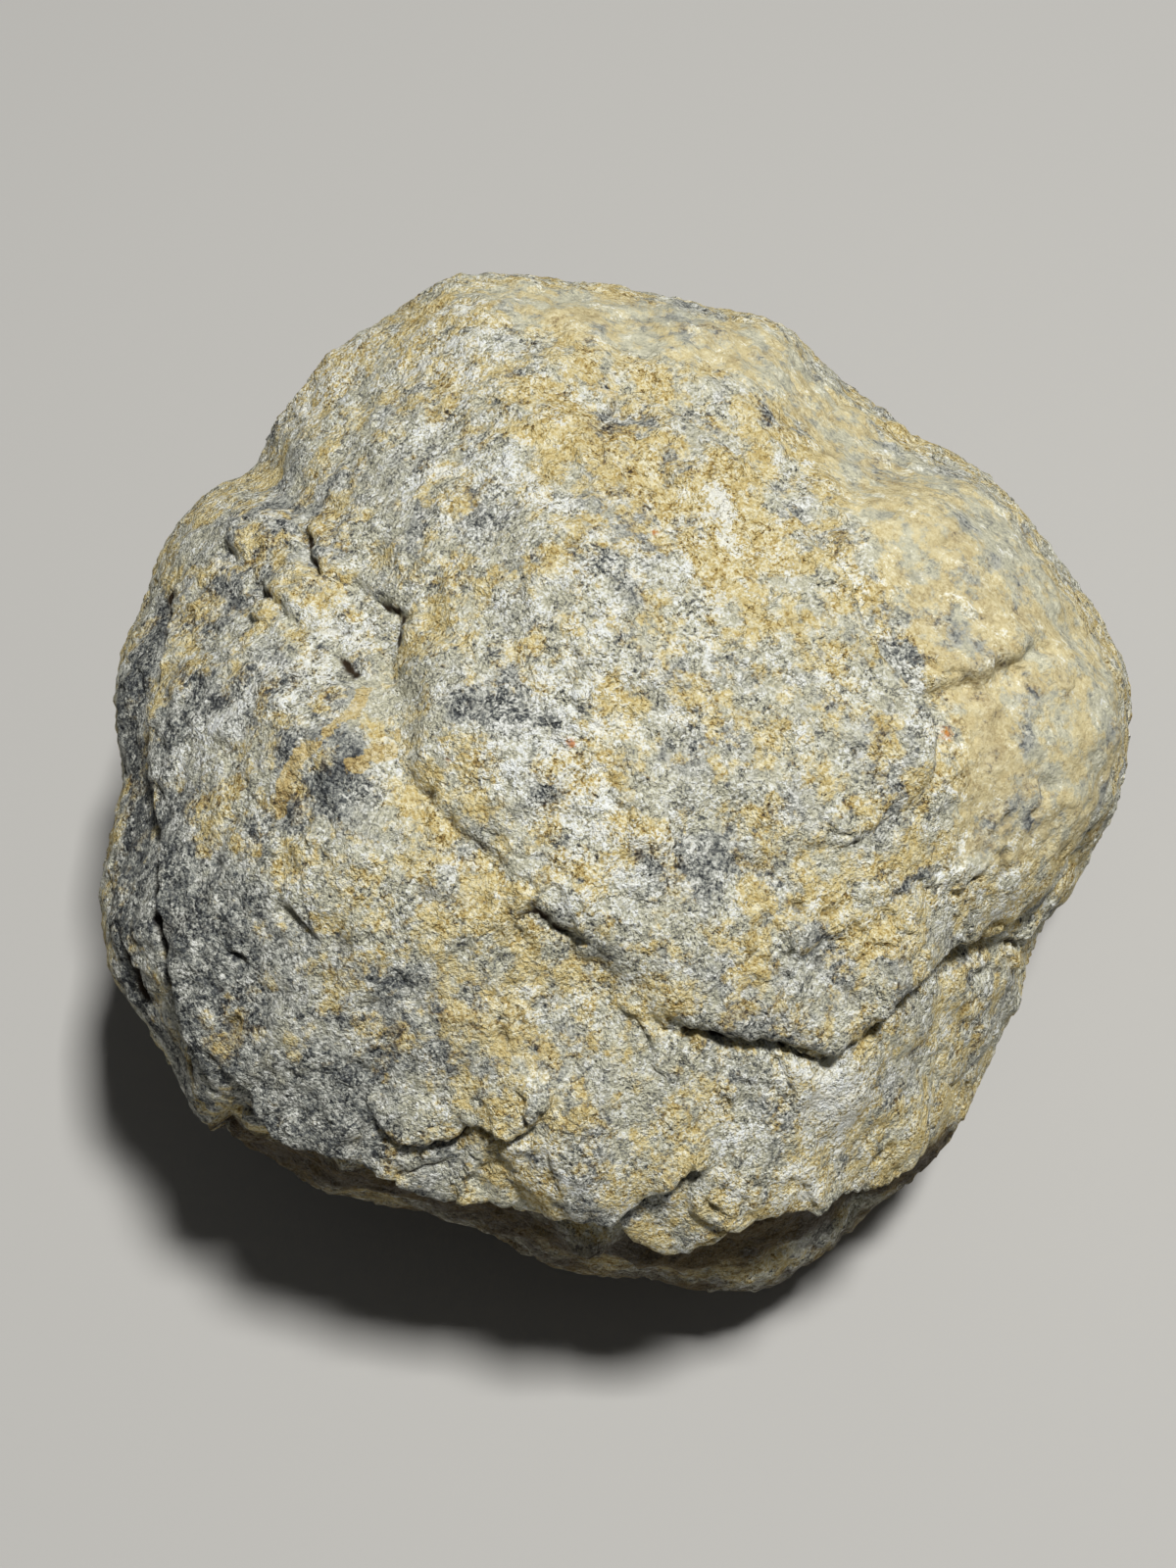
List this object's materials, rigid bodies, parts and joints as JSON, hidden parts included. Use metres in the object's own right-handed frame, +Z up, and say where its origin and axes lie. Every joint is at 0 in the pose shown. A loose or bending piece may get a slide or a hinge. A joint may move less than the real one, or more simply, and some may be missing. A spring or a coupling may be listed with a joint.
{
  "type": "quartz geode",
  "caption": "Whole uncut quartz geode: a lumpy, flattened stone nodule with overlapping lobes, folds and cracks in its rind, resting on a small flat spot.",
  "frame": {"origin": "on the resting surface, under the middle of the stone's bounding box", "axes": "+Z up from the flat foot, +Y along the stone's longest extent, away from the side seen lowest in the picture; +X to the right in the picture"},
  "size_m": [0.1098, 0.1145, 0.0748],
  "materials": {
    "rind": "matt weathered rind: pale clay with ochre, grey-slate and chalky white patches, fine gritty grain"
  },
  "bodies": {
    "root": {"geode": "rind"}
  },
  "joints": []
}
